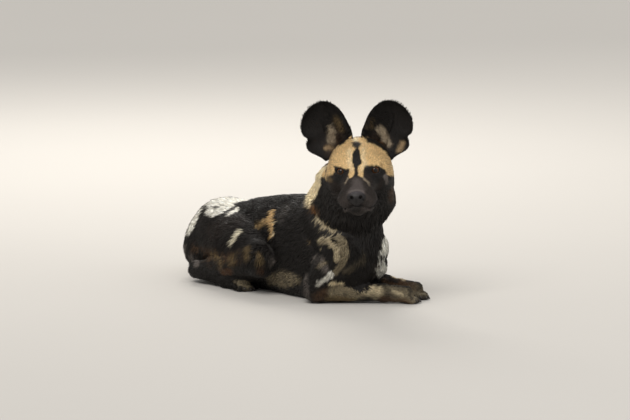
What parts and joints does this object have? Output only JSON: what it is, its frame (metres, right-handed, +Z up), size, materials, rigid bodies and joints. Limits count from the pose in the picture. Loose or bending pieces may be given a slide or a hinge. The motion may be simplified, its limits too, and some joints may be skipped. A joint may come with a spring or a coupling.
{
  "type": "young african wild dog",
  "caption": "Young African wild dog lying on its chest with head raised, large round ears and a patched black, tan and white coat",
  "frame": {"origin": "On the ground under the chest, midway between the elbows, on the flat of the belly", "axes": "+Z up, -Y the way the body faces, +X the animal's left; the longest extent, head to tail, lies along Y"},
  "size_m": [0.2901, 0.6348, 0.3591],
  "materials": {
    "coat": "short bristly fur, black with tan and white patches",
    "ear": "thin short fur over a leathery ear, nearly black inside",
    "nose": "black pebbled nose leather, slightly moist",
    "eye": "dark brown wet eye",
    "claw": "dark horn"
  },
  "bodies": {
    "root": {"forepaw_right": "coat", "forearm_right": "coat", "upper_arm_right": "coat", "hind_foot_right": "coat", "shank_right": "coat", "thigh_right": "coat", "forepaw_left": "coat", "forearm_left": "coat", "upper_arm_left": "coat", "hind_foot_left": "coat", "shank_left": "coat", "thigh_left": "coat", "head": "coat", "neck": "coat", "torso": "coat", "tail_base": "coat", "tail_brush": "coat", "tail_tip": "coat", "nose": "nose", "ear_right": "ear", "ear_left": "ear", "eye_right": "eye", "eye_left": "eye"}
  },
  "joints": []
}
